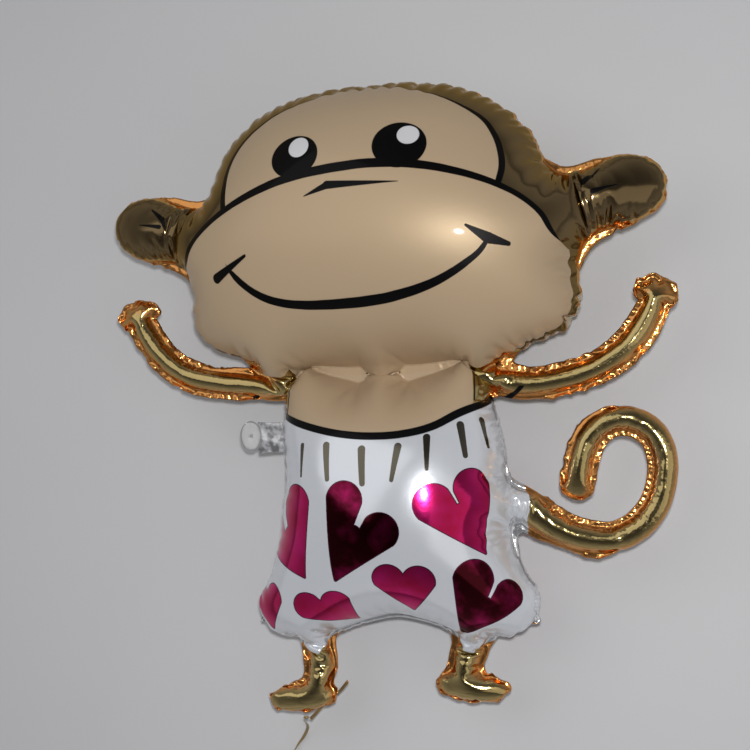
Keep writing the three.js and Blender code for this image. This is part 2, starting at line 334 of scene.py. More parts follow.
def mirrored_edge(half):
    left = [(-x, y) for x, y in half[1:-1]][::-1]
    return smooth_line(list(half) + left, 3, True)


def depth_in_edge(p, edge):
    """Signed distance into a closed edge: positive inside."""
    best = np.full(len(p), 1e9)
    inside = np.zeros(len(p), bool)
    for a, b in zip(edge, np.roll(edge, -1, axis=0)):
        ab = b - a
        ap = p - a
        t = np.clip((ap @ ab) / (ab @ ab + 1e-18), 0, 1)
        gap = ap - t[:, None] * ab
        best = np.minimum(best, (gap * gap).sum(1))
        crosses = (a[1] > p[:, 1]) != (b[1] > p[:, 1])
        with np.errstate(divide="ignore", invalid="ignore"):
            x = a[0] + (p[:, 1] - a[1]) * ab[0] / ab[1]
        inside ^= crosses & (p[:, 0] < x)
    return np.where(inside, 1, -1) * np.sqrt(best)


def along_line(p, line):
    """Distance from a line, the unit direction of its nearest span, and how far along it lies."""
    best = np.full(len(p), 1e9)
    way = np.zeros((len(p), 2))
    reach = np.zeros(len(p))
    run = 0.0
    for a, b in zip(line[:-1], line[1:]):
        ab = b - a
        size = math.hypot(*ab)
        ap = p - a
        t = np.clip((ap @ ab) / (size * size), 0, 1)
        gap = ap - t[:, None] * ab
        d = (gap * gap).sum(1)
        near = d < best
        best[near] = d[near]
        way[near] = ab / size
        reach[near] = run + t[near] * size
        run += size
    return np.sqrt(best), way, reach / run


def smooth_join(a, b, fillet):
    h = np.clip(0.5 + 0.5 * (a - b) / fillet, 0, 1)
    return b + (a - b) * h + fillet * h * (1 - h)


def oval(p, centre, half, tilt):
    c, s = math.cos(tilt), math.sin(tilt)
    q = (p - np.array(centre)) @ np.array([[c, -s], [s, c]])
    k0 = np.sqrt(((q / half) ** 2).sum(1))
    k1 = np.sqrt(((q / (np.array(half) ** 2)) ** 2).sum(1)) + 1e-9
    return -k0 * (k0 - 1) / k1


class Lobes:
    """The lobes of the balloon: their outlines, limb lines and fingers, and their depth."""

    def __init__(self):
        self.head = mirrored_edge(HEAD_EDGE) + [HEAD_SHIFT, 0]
        self.body = mirrored_edge(BODY_EDGE) + [BODY_SHIFT, 0]
        swell, at, spread = HIP_SWELL
        right = self.body[:, 0] > 0.1
        self.body[right, 0] += swell * np.exp(-((self.body[right, 1] - at) / spread) ** 2)
        self.limbs = []
        for arm in (LEFT_ARM_LINE, RIGHT_ARM_LINE):
            self.limbs.append((smooth_line(arm), ARM_RADIUS, "arm"))
        self.limbs.append((smooth_line(LEFT_LEG_LINE), LEG_RADIUS, "leg"))
        self.limbs.append((smooth_line(RIGHT_LEG_LINE), LEG_RADIUS, "leg"))
        self.limbs.append((smooth_line(TAIL_LINE, 6), TAIL_RADIUS, "tail"))
        self.fingers = []
        for arm in (LEFT_ARM_LINE, RIGHT_ARM_LINE):
            end, before = np.array(arm[-1]), np.array(arm[-2])
            heading = math.atan2(*(end - before)[::-1])
            for spread in FINGER_ANGLES:
                a = heading + math.radians(spread)
                x = end[0] + FINGER_REACH * math.cos(a)
                y = end[1] + FINGER_REACH * math.sin(a)
                self.fingers.append((x, y))

    def depth(self, p):
        d = depth_in_edge(p, self.head)
        d = smooth_join(d, depth_in_edge(p, self.body), 0.016)
        for centre, tilt in EARS:
            d = smooth_join(d, oval(p, centre, EAR_HALF, math.radians(tilt)), 0.060)
        for line, radius, name in self.limbs:
            dist, _, reach = along_line(p, line)
            size = radius * (1 + 0.5 * np.exp(-reach * 9)) if name == "tail" else radius
            d = smooth_join(d, size - dist, 0.018)
        for (centre, tilt) in (LEFT_FOOT, RIGHT_FOOT):
            d = smooth_join(d, oval(p, centre, FOOT_HALF, math.radians(tilt)), 0.012)
        for centre in self.fingers:
            dist = np.hypot(p[:, 0] - centre[0], p[:, 1] - centre[1])
            d = smooth_join(d, FINGER_RADIUS - dist, 0.004)
        return d


class Grid:
    def __init__(self, lobes, step=0.003):
        self.step = step
        self.x = np.arange(-0.47, 0.47, step)
        self.y = np.arange(-0.48, 0.54, step)
        gx, gy = np.meshgrid(self.x, self.y)
        self.v = lobes.depth(np.column_stack([gx.ravel(), gy.ravel()])).reshape(gx.shape)

    def at(self, p):
        fx = np.clip((p[:, 0] - self.x[0]) / self.step, 0, len(self.x) - 1.001)
        fy = np.clip((p[:, 1] - self.y[0]) / self.step, 0, len(self.y) - 1.001)
        ix, iy = fx.astype(int), fy.astype(int)
        tx, ty = fx - ix, fy - iy
        v = self.v
        return ((v[iy, ix] * (1 - tx) + v[iy, ix + 1] * tx) * (1 - ty)
                + (v[iy + 1, ix] * (1 - tx) + v[iy + 1, ix + 1] * tx) * ty)

    def slope(self, p, e=0.002):
        dx = self.at(p + [e, 0]) - self.at(p - [e, 0])
        dy = self.at(p + [0, e]) - self.at(p - [0, e])
        g = np.column_stack([dx, dy])
        return g / (np.sqrt((g * g).sum(1))[:, None] + 1e-9)

    def onto(self, p, level, rounds=4):
        p = p.copy()
        for _ in range(rounds):
            p -= (self.at(p) - level)[:, None] * self.slope(p)
        return p

    def contours(self, level):
        """Closed loops where the depth equals level (marching squares)."""
        v = self.v - level
        links = {}
        points = {}

        def cross(i, j, k, l):
            key = (i, j, k, l)
            if key not in points:
                a, b = v[i, j], v[k, l]
                t = a / (a - b)
                across = self.x[j] + (self.x[l] - self.x[j]) * t
                up = self.y[i] + (self.y[k] - self.y[i]) * t
                points[key] = (across, up)
            return key

        pos = v > 0
        first = pos[:-1, :-1]
        busy = (first != pos[1:, :-1]) | (first != pos[:-1, 1:]) | (first != pos[1:, 1:])
        for i, j in np.argwhere(busy):
            corners = [(i, j), (i, j + 1), (i + 1, j + 1), (i + 1, j)]
            cuts = []
            for a, b in zip(corners, corners[1:] + corners[:1]):
                if pos[a] != pos[b]:
                    lo, hi = (a, b) if a <= b else (b, a)
                    cuts.append(cross(*lo, *hi))
            for a, b in zip(cuts[::2], cuts[1::2]):
                links.setdefault(a, []).append(b)
                links.setdefault(b, []).append(a)
        loops = []
        left = set(links)
        while left:
            start = left.pop()
            loop = [start]
            here = start
            while True:
                ahead = [k for k in links[here] if k in left]
                if not ahead:
                    break
                here = ahead[0]
                left.discard(here)
                loop.append(here)
            if len(loop) > 20:
                loops.append(np.array([points[k] for k in loop]))
        return loops


def spaced(loop, gap):
    """Evenly spaced points round a closed loop."""
    ends = np.vstack([loop, loop[:1]])
    seg = np.sqrt((np.diff(ends, axis=0) ** 2).sum(1))
    run = np.concatenate([[0], np.cumsum(seg)])
    n = max(8, int(round(run[-1] / gap)))
    s = np.arange(n) * run[-1] / n
    return np.column_stack([np.interp(s, run, ends[:, k]) for k in (0, 1)])


def weld_ends(side):
    """The inner and the outer end of one neck weld."""
    inner, outer, _, _ = NECK_WELD
    return np.array([side * inner[0], inner[1]]), np.array([side * outer[0], outer[1]])


def weld_depth(p):
    """Positive inside the two teardrop welds at the neck."""
    d = np.full(len(p), -1.0)
    _, _, r0, r1 = NECK_WELD
    for side in (1, -1):
        s, e = weld_ends(side)
        se = e - s
        t = np.clip(((p - s) @ se) / (se @ se), 0, 1)
        dist = np.sqrt(((p - s - t[:, None] * se) ** 2).sum(1))
        d = np.maximum(d, r0 + (r1 - r0) * t - dist)
    return d


def weld_points(side):
    """Points round one neck weld, and points along its middle."""
    _, _, r0, r1 = NECK_WELD
    s, e = weld_ends(side)
    axis = e - s
    axis /= math.hypot(*axis)
    across = np.array([-axis[1], axis[0]])
    turn = []
    for ang in np.radians([90, 140, 180, 220, 270]):
        turn.append(s + r0 * (math.cos(ang) * axis + math.sin(ang) * across))
    for t in (0.25, 0.5, 0.75):
        turn.append(s + (e - s) * t - (r0 + (r1 - r0) * t) * across)
    turn.append(e + r1 * axis)
    for t in (0.75, 0.5, 0.25):
        turn.append(s + (e - s) * t + (r0 + (r1 - r0) * t) * across)
    return np.array(turn), [s + (e - s) * t for t in (0.0, 0.3, 0.6)]


def inside_points(grid, gap):
    """Points in rows of triangles, twice as far apart in the middle of a lobe."""
    row = gap * math.sqrt(3) / 2
    places = []
    coarse = []
    for r in range(int(-0.5 / row), int(0.56 / row) + 1):
        for q in range(int(-0.48 / gap), int(0.48 / gap) + 1):
            places.append((q * gap + (r % 2) * gap / 2, r * row))
            coarse.append(r % 2 == 0 and (q + (r // 2) % 2) % 2 == 0)
    places = np.array(places)
    depth = grid.at(places)
    weld = weld_depth(places)
    keep = (depth > gap * 0.55) & (weld < -gap * 0.5)
    deep = (depth > 0.034) & (weld < -0.03)
    return places[keep & (~deep | np.array(coarse))]


def turned_up(verts, tris, least=-1.0):
    """The triangles that are larger than least, all facing up."""
    a, b, c = verts[tris[:, 0]], verts[tris[:, 1]], verts[tris[:, 2]]
    area = (b[:, 0] - a[:, 0]) * (c[:, 1] - a[:, 1]) - (b[:, 1] - a[:, 1]) * (c[:, 0] - a[:, 0])
    keep = np.abs(area) > least
    tris, area = tris[keep], area[keep]
    tris[area < 0] = tris[area < 0][:, ::-1]
    return tris


def cut_sheet(grid, gap):
    """Triangulates one sheet: outer edge, weld line, neck welds and a graded inside."""
    pts, edges, kind = [], [], []

    def add(points, tag):
        pts.extend(points)
        kind.extend([tag] * len(points))

    def ring(loop, tag):
        first, n = len(pts), len(loop)
        edges.extend((first + k, first + (k + 1) % n) for k in range(n))
        add(loop, tag)

    for level, tag in ((-FLANGE, RIM), (0.0, SEAM)):
        for loop in grid.contours(level):
            ring(spaced(loop, gap), tag)
    for side in (1, -1):
        turn, middle = weld_points(side)
        ring(turn, WELD_EDGE)
        add(middle, WELD)
    add(inside_points(grid, gap), INSIDE)
    out = delaunay_2d_cdt([Vector(q) for q in pts], edges, [], 0, 1e-7)
    verts = np.array([(v.x, v.y) for v in out[0]])
    tris = np.array([f for f in out[2] if len(f) == 3])
    tags = np.zeros(len(verts), int)
    for new, olds in enumerate(out[3]):
        if olds:
            tags[new] = max(kind[o] for o in olds)
    tris = tris[grid.at(verts[tris].mean(1)) > -FLANGE]
    tris = turned_up(verts, tris, 1e-9)
    used = np.unique(tris)
    remap = -np.ones(len(verts), int)
    remap[used] = np.arange(len(used))
    return verts[used], remap[tris], tags[used]


def dome(depth, half, height):
    """Height of a pillow of the given half width at a depth in from its seam."""
    t = np.clip(1 - depth / half, 0, 1)
    return height * np.sqrt(1 - t * t)


def stretch_and_rise(lobes, p):
    """How much larger the flat sheet is than the drawing at each point, and the first height."""
    n = len(p)
    head = depth_in_edge(p, lobes.head)
    body = depth_in_edge(p, lobes.body)
    parts = [(head, HEAD_STRETCH, HEAD_RISE), (body, BODY_STRETCH, BODY_RISE)]
    for centre, tilt in EARS:
        parts.append((oval(p, centre, EAR_HALF, math.radians(tilt)), EAR_STRETCH, EAR_RISE))
    for centre, tilt in (LEFT_FOOT, RIGHT_FOOT):
        parts.append((oval(p, centre, FOOT_HALF, math.radians(tilt)), FOOT_STRETCH, FOOT_RISE))
    field = np.zeros((n, 2, 2))
    weight = np.zeros(n) + 1e-9
    rise = np.zeros(n)
    core = np.full(n, -1.0)
    for depth, stretch, size in parts:
        share = np.exp(np.clip(depth, -0.2, 0.03) / 0.006)
        field[:, 0, 0] += share * stretch[0]
        field[:, 1, 1] += share * stretch[1]
        weight += share
        rise = np.maximum(rise, np.where(depth > 0, dome(depth, *size), 0))
        core = np.maximum(core, depth)
    field /= weight[:, None, None]
    for line, radius, name in lobes.limbs:
        dist, way, reach = along_line(p, line)
        side = np.column_stack([-way[:, 1], way[:, 0]])
        off = np.clip(dist / radius, 0, 1.2)
        along = LIMB_ALONG + LIMB_SEAM * off * off
        tube = (along[:, None, None] * way[:, :, None] * way[:, None, :]
                + LIMB_ACROSS * side[:, :, None] * side[:, None, :])
        share = np.clip((radius * 1.7 - dist) / (radius * 0.4), 0, 1) * np.clip(0.5 - core / 0.012, 0, 1)
        field = field * (1 - share)[:, None, None] + tube * share[:, None, None]
        rise = np.maximum(rise, np.sqrt(np.clip(radius * radius - dist * dist, 0, None)))
    return field, rise


def halve(verts2, tris, tags, grid):
    """Splits every triangle in four and puts new rim points back on their line."""
    e = np.sort(np.vstack([tris[:, [0, 1]], tris[:, [1, 2]], tris[:, [2, 0]]]), axis=1)
    edges, inv = np.unique(e, axis=0, return_inverse=True)
    inv = inv.ravel()
    n = len(verts2)
    m = len(tris)
    a, b, c = tris.T
    ab, bc, ca = inv[:m] + n, inv[m:2 * m] + n, inv[2 * m:] + n
    fine = np.vstack([np.column_stack([a, ab, ca]), np.column_stack([ab, b, bc]),
                      np.column_stack([ca, bc, c]), np.column_stack([ab, bc, ca])])
    mid = verts2[edges].mean(1)
    ta, tb = tags[edges[:, 0]], tags[edges[:, 1]]
    tag = np.zeros(len(edges), int)
    count = np.bincount(inv, minlength=len(edges))
    outer = (ta == RIM) & (tb == RIM) & (count == 1)
    tag[outer] = RIM
    lo, hi = np.minimum(ta, tb), np.maximum(ta, tb)
    depth = grid.at(mid)
    on_seam = (ta == SEAM) & (tb == SEAM) & (np.abs(depth) < 0.0025)
    tag[on_seam] = SEAM
    flange = (~outer) & (depth < -0.0012) & (lo > INSIDE)
    tag[flange] = MARGIN
    neck = (lo >= WELD_EDGE) & (hi <= WELD)
    tag[neck] = np.where(hi[neck] == WELD, WELD, WELD_EDGE)
    across_weld = (ta == WELD_EDGE) & (tb == WELD_EDGE)
    tag[across_weld & (weld_depth(mid) > 0.002)] = WELD
    mid[outer] = grid.onto(mid[outer], -FLANGE)
    mid[on_seam] = grid.onto(mid[on_seam], 0.0)
    return np.vstack([verts2, mid]), fine, np.concatenate([tags, tag]), edges


class Foil:
    """Two sheets welded at their rim and neck, held by their cut lengths."""

    def __init__(self, verts2, tris, tags, field):
        self.v2, self.tris, self.tags, self.field = verts2, tris, tags, field
        n = len(verts2)
        self.n = n
        welded = tags > INSIDE
        back = np.where(welded, np.arange(n), 0)
        free = np.flatnonzero(~welded)
        back[free] = n + np.arange(len(free))
        self.back = back
        self.free = free
        self.count = n + len(free)
        flat = np.vstack([verts2, verts2[free]])
        st = np.concatenate([field, field[free]])
        ftris = tris
        btris = back[tris][:, ::-1]
        inner = ~(welded[tris].all(1))
        self.faces = np.vstack([ftris[inner], btris[inner]])
        allf = np.vstack([ftris, btris])
        e = np.sort(np.vstack([allf[:, [0, 1]], allf[:, [1, 2]], allf[:, [2, 0]]]), axis=1)
        opp = np.concatenate([allf[:, 2], allf[:, 0], allf[:, 1]])
        key = e[:, 0].astype(np.int64) * self.count + e[:, 1]
        order = np.argsort(key, kind="stable")
        key, e, opp = key[order], e[order], opp[order]
        first = np.concatenate([[True], key[1:] != key[:-1]])
        edges = e[first]
        starts = np.flatnonzero(first)
        ends = np.append(starts[1:], len(key))
        self.edges = edges
        folds = []
        for i, j in ((0, 1), (0, 2), (0, 3), (1, 2), (1, 3), (2, 3)):
            ok = starts + j < ends
            folds.append(np.column_stack([opp[starts[ok] + i], opp[starts[ok] + j]]))
        bends = np.unique(np.sort(np.vstack(folds), axis=1), axis=0)
        gap = flat[bends[:, 0]] - flat[bends[:, 1]]
        self.bends = bends[(gap * gap).sum(1) > 1e-7]

        def rest(pairs):
            d = flat[pairs[:, 1]] - flat[pairs[:, 0]]
            s = 0.5 * (st[pairs[:, 0]] + st[pairs[:, 1]])
            return np.sqrt((np.einsum("nij,nj->ni", s, d) ** 2).sum(1))

        self.pairs = np.vstack([self.edges, self.bends])
        self.rest = rest(self.pairs)
        self.is_edge = np.arange(len(self.pairs)) < len(self.edges)
        self.valence = np.maximum(np.bincount(self.pairs.ravel(), minlength=self.count), 1)


def inflate(foil, x, level, rim_points, home):
    """Pushes the sheets apart and holds them to their cut lengths, for a set number of steps."""
    a, b = foil.pairs.T
    rest = foil.rest
    soft = np.where(foil.is_edge, GIVE[level], BEND[level])
    hard = np.where(foil.is_edge, 1.0, 0.15)
    f = foil.faces
    old = x.copy()
    n = foil.count
    ea, eb = foil.edges.T
    rim = np.zeros(n, bool)
    rim[:foil.n] = foil.tags > INSIDE
    wa = (~rim[ea] | rim[eb]) * 1.0
    wb = (~rim[eb] | rim[ea]) * 1.0
    ring = np.bincount(ea, wa, n) + np.bincount(eb, wb, n) + 1e-9
    for k in range(ROUNDS[level]):
        p0, p1, p2 = x[f[:, 0]], x[f[:, 1]], x[f[:, 2]]
        nrm = np.cross(p1 - p0, p2 - p0)
        size = np.zeros((n, 3))
        for c in range(3):
            w = nrm[:, c]
            size[:, c] = sum(np.bincount(f[:, corner], w, n) for corner in range(3))
        speed = (x - old) * SLIDE
        old = x.copy()
        x = x + speed + size * PUSH
        for _ in range(2):
            d = x[b] - x[a]
            length = np.sqrt((d * d).sum(1)) + 1e-12
            over = (length - rest) / length
            pull = np.where(over > 0, hard, soft) * over * 0.5
            d *= pull[:, None]
            for c in range(3):
                move = np.bincount(a, d[:, c], n) - np.bincount(b, d[:, c], n)
                x[:, c] += 1.6 * move / foil.valence
        if EASE[level] and k % 4 == 0:
            d = x[eb] - x[ea]
            for c in range(3):
                move = np.bincount(ea, d[:, c] * wa, n) - np.bincount(eb, d[:, c] * wb, n)
                x[:, c] += EASE[level] * move / ring
        x[:, 2] = np.maximum(x[:, 2], FLOOR_GAP)
        x += (home - x[rim_points]).mean(0) * 0.02
    return x


def blow_up(lobes, grid, levels):
    """Cuts the two sheets, welds them and fills them, coarse first and then finer."""
    v2, tris, tags = cut_sheet(grid, FIRST_GAP)
    field, rise = stretch_and_rise(lobes, v2)
    foil = Foil(v2, tris, tags, field)
    rise = np.maximum(rise, 0.004) * (tags == INSIDE)
    rise = np.minimum(rise, np.sqrt(np.clip(-weld_depth(v2), 0, 1) * 0.12))
    flat = np.vstack([np.column_stack([v2, rise]), np.column_stack([v2, -rise])[foil.free]])
    noise = np.random.RandomState(11).normal(0, 0.00001, flat.shape)
    x = lay_down(flat + noise)
    home = lay_down(np.column_stack([v2, 0 * rise]))
    rim = np.flatnonzero(tags == SEAM)
    x = inflate(foil, x, 0, rim, home[rim])
    for level in range(levels):
        old_count = foil.n
        v2, tris, tags, edges = halve(foil.v2, foil.tris, foil.tags, grid)

        def with_middles(values):
            return np.concatenate([values, 0.5 * (values[edges[:, 0]] + values[edges[:, 1]])])

        new = Foil(v2, tris, tags, with_middles(foil.field))
        front = with_middles(x[:old_count])
        back = with_middles(x[foil.back])
        shift = v2[old_count:] - with_middles(foil.v2)[old_count:]
        front[old_count:, :2] += shift
        back[old_count:, :2] += shift
        x = np.vstack([front, back[new.free]])
        x += np.random.RandomState(23 + level).normal(0, 0.00015, x.shape)
        foil = new
        home = lay_down(np.column_stack([v2, np.zeros(len(v2))]))
        rim = np.flatnonzero(tags == SEAM)
        x = inflate(foil, x, level + 1, rim, home[rim])
    return foil, x


class Skin:
    """The filled balloon as one closed mesh, with its print coordinates."""

    def __init__(self, foil, x, grid):
        tags, n = foil.tags, foil.n
        twin = foil.back.copy()
        doubled = np.flatnonzero((tags > INSIDE) & (tags != RIM))
        twin[doubled] = len(x) + np.arange(len(doubled))
        points = np.vstack([x, x[doubled]])
        lift = self.normals(x[:n], foil.tris)[doubled] * FILM_GAP
        points[doubled] += lift
        points[len(x):] -= lift
        self.points = points
        self.tris = np.vstack([foil.tris, twin[foil.tris][:, ::-1]])
        plan = np.zeros((len(points), 2))
        plan[:n] = foil.v2
        plan[twin] = foil.v2
        self.plan = plan
        self.seam = grid.at(plan)
        self.front = np.arange(len(self.tris)) < len(foil.tris)

    @staticmethod
    def normals(points, tris):
        a, b, c = points[tris[:, 0]], points[tris[:, 1]], points[tris[:, 2]]
        face = np.cross(b - a, c - a)
        out = np.zeros_like(points)
        for k in range(3):
            for corner in range(3):
                out[:, k] += np.bincount(tris[:, corner], face[:, k], len(points))
        return out / (np.sqrt((out ** 2).sum(1))[:, None] + 1e-12)

    def make(self, name):
        mesh = bpy.data.meshes.new(name)
        mesh.vertices.add(len(self.points))
        mesh.vertices.foreach_set("co", self.points.ravel())
        mesh.loops.add(3 * len(self.tris))
        mesh.loops.foreach_set("vertex_index", self.tris.ravel().astype(np.int32))
        mesh.polygons.add(len(self.tris))
        mesh.polygons.foreach_set("loop_start", np.arange(0, 3 * len(self.tris), 3, dtype=np.int32))
        mesh.update(calc_edges=True)
        mesh.polygons.foreach_set("use_smooth", np.ones(len(self.tris), bool))
        print_map = mesh.uv_layers.new(name="Print")
        print_map.data.foreach_set("uv", self.plan[self.tris.ravel()].ravel())
        seam = mesh.attributes.new("Seam", "FLOAT", "POINT")
        seam.data.foreach_set("value", self.seam)
        middle = self.plan[self.tris].mean(1)
        part = np.where(self.front, np.where(middle[:, 1] > 0.062, 0, 1), 2)
        mesh.polygons.foreach_set("material_index", part.astype(np.int32))
        mesh.validate()
        piece = bpy.data.objects.new(name, mesh)
        bpy.context.scene.collection.objects.link(piece)
        return piece


lobes = Lobes()
grid = Grid(lobes)
foil, filled = blow_up(lobes, grid, 2)
balloon = Skin(foil, filled, grid).make("foil_balloon")
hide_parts("foil_envelope")
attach(balloon, "root")


# ---------- fill tail ----------
FILL_NECK = (-0.203, -0.162, -0.044, 0.004)   # left, right, bottom, top
FILL_DISC = (-0.214, -0.017)
FILL_DISC_HALF = (0.016, 0.023)
FILL_HOLE = 0.003
FILL_THICK = 0.0005


def fill_tail_film():
    """A creased tab of clear film with a round end and a small hole."""
    gap = 0.0013
    left, right, bottom, top = FILL_NECK
    edge = []
    for a in np.radians(np.arange(48, 313, 7.5)):
        across, along = FILL_DISC_HALF[0] * math.cos(a), FILL_DISC_HALF[1] * math.sin(a)
        edge.append((FILL_DISC[0] + across, FILL_DISC[1] + along))
    edge += [(left, bottom + 0.003), (left, bottom), (right, bottom + 0.002)]
    edge += [(right, top - 0.002), (left, top)]
    edge = np.array(edge)
    ring = evenly(np.vstack([edge, edge[:1]]), gap)[:-1]
    turn = np.radians(np.arange(0, 360, 30))
    hole = np.column_stack([FILL_DISC[0] + FILL_HOLE * np.cos(turn), FILL_DISC[1] + FILL_HOLE * np.sin(turn)])
    gx, gy = np.meshgrid(np.arange(-0.232, right, gap), np.arange(bottom, 0.008, gap))
    inner = np.column_stack([gx.ravel(), gy.ravel()])
    from_hole = np.hypot(inner[:, 0] - FILL_DISC[0], inner[:, 1] - FILL_DISC[1])
    inner = inner[(depth_in_edge(inner, ring) > gap * 0.5) & (from_hole > FILL_HOLE + gap * 0.5)]
    points = np.vstack([ring, hole, inner])
    lines = []
    first = 0
    for count in (len(ring), len(hole)):
        lines += [(first + k, first + (k + 1) % count) for k in range(count)]
        first += count
    out = delaunay_2d_cdt([Vector(q) for q in points], lines, [], 0, 1e-7)
    verts = np.array([(v.x, v.y) for v in out[0]])
    tris = np.array([t for t in out[2] if len(t) == 3])
    mid = verts[tris].mean(1)
    keep = depth_in_edge(mid, ring) > 0
    keep &= np.hypot(mid[:, 0] - FILL_DISC[0], mid[:, 1] - FILL_DISC[1]) > FILL_HOLE * 0.97
    tris = turned_up(verts, tris[keep])
    u, v = verts[:, 0], verts[:, 1]
    crease = 0.0016 * np.sin((v + 0.3 * u) * 230 + 1.5) * np.clip((u - left + 0.004) / 0.02, 0, 1)
    crease += 0.0006 * np.sin((v * 0.6 - u) * 170 + 1.0)
    curl = 0.004 * np.clip((left - u) / 0.02, 0, 1) ** 2
    laid = lay_down(np.column_stack([verts, crease + curl]))
    film = add_object("fill_tail_film", laid, tris)
    wall = film.modifiers.new("Film", "SOLIDIFY")
    wall.thickness = FILL_THICK
    wall.offset = 0
    bpy.ops.object.select_all(action="DESELECT")
    film.select_set(True)
    bpy.context.view_layer.objects.active = film
    bpy.ops.object.modifier_apply(modifier="Film")
    return film


fill_film = fill_tail_film()
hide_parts("fill_tail")
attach(fill_film, "root")


# ---------- shader helpers ----------
def put(tree, kind, **settings):
    node = tree.nodes.new(kind)
    for name, value in settings.items():
        setattr(node, name, value)
    return node


def join(tree, source, socket):
    """Links an output, or sets a plain value."""
    if isinstance(source, bpy.types.NodeSocket):
        tree.links.new(source, socket)
    else:
        socket.default_value = source


def sum_of(tree, operation, a, b=0.0, clamp=False):
    node = put(tree, "ShaderNodeMath", operation=operation, use_clamp=clamp)
    join(tree, a, node.inputs[0])
    join(tree, b, node.inputs[1])
    return node.outputs[0]


def vector_sum(tree, operation, a, b=None, label=0):
    node = put(tree, "ShaderNodeVectorMath", operation=operation)
    join(tree, a, node.inputs[0])
    if b is not None:
        join(tree, b, node.inputs[1])
    return node.outputs[label]


def scaled(tree, value, low, high, to_low=0.0, to_high=1.0, smooth=False):
    """Turns the span from low to high into the span from to_low to to_high."""
    node = put(tree, "ShaderNodeMapRange", interpolation_type="SMOOTHSTEP" if smooth else "LINEAR")
    join(tree, value, node.inputs["Value"])
    node.inputs["From Min"].default_value = low
    node.inputs["From Max"].default_value = high
    node.inputs["To Min"].default_value = to_low
    node.inputs["To Max"].default_value = to_high
    return node.outputs["Result"]


def speckle(tree, scale, detail=2):
    """Noise that is fixed to the piece."""
    place = put(tree, "ShaderNodeTexCoord")
    node = put(tree, "ShaderNodeTexNoise")
    join(tree, place.outputs["Object"], node.inputs["Vector"])
    node.inputs["Scale"].default_value = scale
    node.inputs["Detail"].default_value = detail
    return node.outputs[0]


def blend_of(tree, share, first, second):
    node = put(tree, "ShaderNodeMix", data_type="RGBA")
    join(tree, share, node.inputs[0])
    join(tree, first, node.inputs[6])
    join(tree, second, node.inputs[7])
    return node.outputs[2]


def largest(tree, values):
    whole = values[0]
    for value in values[1:]:
        whole = sum_of(tree, "MAXIMUM", whole, value)
    return whole


def smallest(tree, values):
    whole = values[0]
    for value in values[1:]:
        whole = sum_of(tree, "MINIMUM", whole, value)
    return whole


def new_group(name, inputs, outputs):
    group = bpy.data.node_groups.new(name, "ShaderNodeTree")
    for label, kind in inputs:
        group.interface.new_socket(name=label, in_out="INPUT", socket_type=kind)
    for label, kind in outputs:
        group.interface.new_socket(name=label, in_out="OUTPUT", socket_type=kind)
    return group, put(group, "NodeGroupInput"), put(group, "NodeGroupOutput")


def use_group(tree, group, **values):
    node = put(tree, "ShaderNodeGroup", node_tree=group)
    for label, value in values.items():
        join(tree, value, node.inputs[label.replace("_", " ")])
    return node


def stroke_group():
    """How deep a point is inside a stroke that tapers from one end to the other."""
    inputs = [("So far", "NodeSocketFloat"), ("Plan", "NodeSocketVector"), ("Start", "NodeSocketVector"),
              ("End", "NodeSocketVector"), ("Start Radius", "NodeSocketFloat"),
              ("End Radius", "NodeSocketFloat")]
    g, into, out = new_group("Stroke depth", inputs, [("Depth", "NodeSocketFloat")])
    so_far, plan, start, end, first, last = [into.outputs[k] for k in range(6)]
    away = vector_sum(g, "SUBTRACT", plan, start)
    axis = vector_sum(g, "SUBTRACT", end, start)
    along = vector_sum(g, "DOT_PRODUCT", away, axis, "Value")
    whole = vector_sum(g, "DOT_PRODUCT", axis, axis, "Value")
    share = sum_of(g, "DIVIDE", along, whole, clamp=True)
    foot = put(g, "ShaderNodeVectorMath", operation="SCALE")
    join(g, axis, foot.inputs[0])
    join(g, share, foot.inputs["Scale"])
    gap = vector_sum(g, "DISTANCE", away, foot.outputs[0], "Value")
    growth = sum_of(g, "MULTIPLY", sum_of(g, "SUBTRACT", last, first), share)
    radius = sum_of(g, "ADD", first, growth)
    depth = sum_of(g, "SUBTRACT", radius, gap)
    join(g, sum_of(g, "MAXIMUM", depth, so_far), out.inputs[0])
    return g


def oval_group():
    """How deep a point is inside an upright oval."""
    inputs = [("So far", "NodeSocketFloat"), ("Plan", "NodeSocketVector"), ("Centre", "NodeSocketVector"),
              ("Half", "NodeSocketVector")]
    g, into, out = new_group("Oval depth", inputs, [("Depth", "NodeSocketFloat")])
    so_far, plan, centre, half = [into.outputs[k] for k in range(4)]
    unit = vector_sum(g, "DIVIDE", vector_sum(g, "SUBTRACT", plan, centre), half)
    far = vector_sum(g, "LENGTH", unit, label="Value")
    size = put(g, "ShaderNodeSeparateXYZ")
    join(g, half, size.inputs[0])
    short = sum_of(g, "MINIMUM", size.outputs[0], size.outputs[1])
    depth = sum_of(g, "MULTIPLY", sum_of(g, "SUBTRACT", 1.0, far), short)
    join(g, sum_of(g, "MAXIMUM", depth, so_far), out.inputs[0])
    return g


def print_edge_group():
    """Turns a depth into a print mask with a clean edge."""
    g, into, out = new_group("Print edge", [("Depth", "NodeSocketFloat")], [("Mask", "NodeSocketFloat")])
    join(g, scaled(g, into.outputs[0], -0.00045, 0.00045, smooth=True), out.inputs[0])
    return g


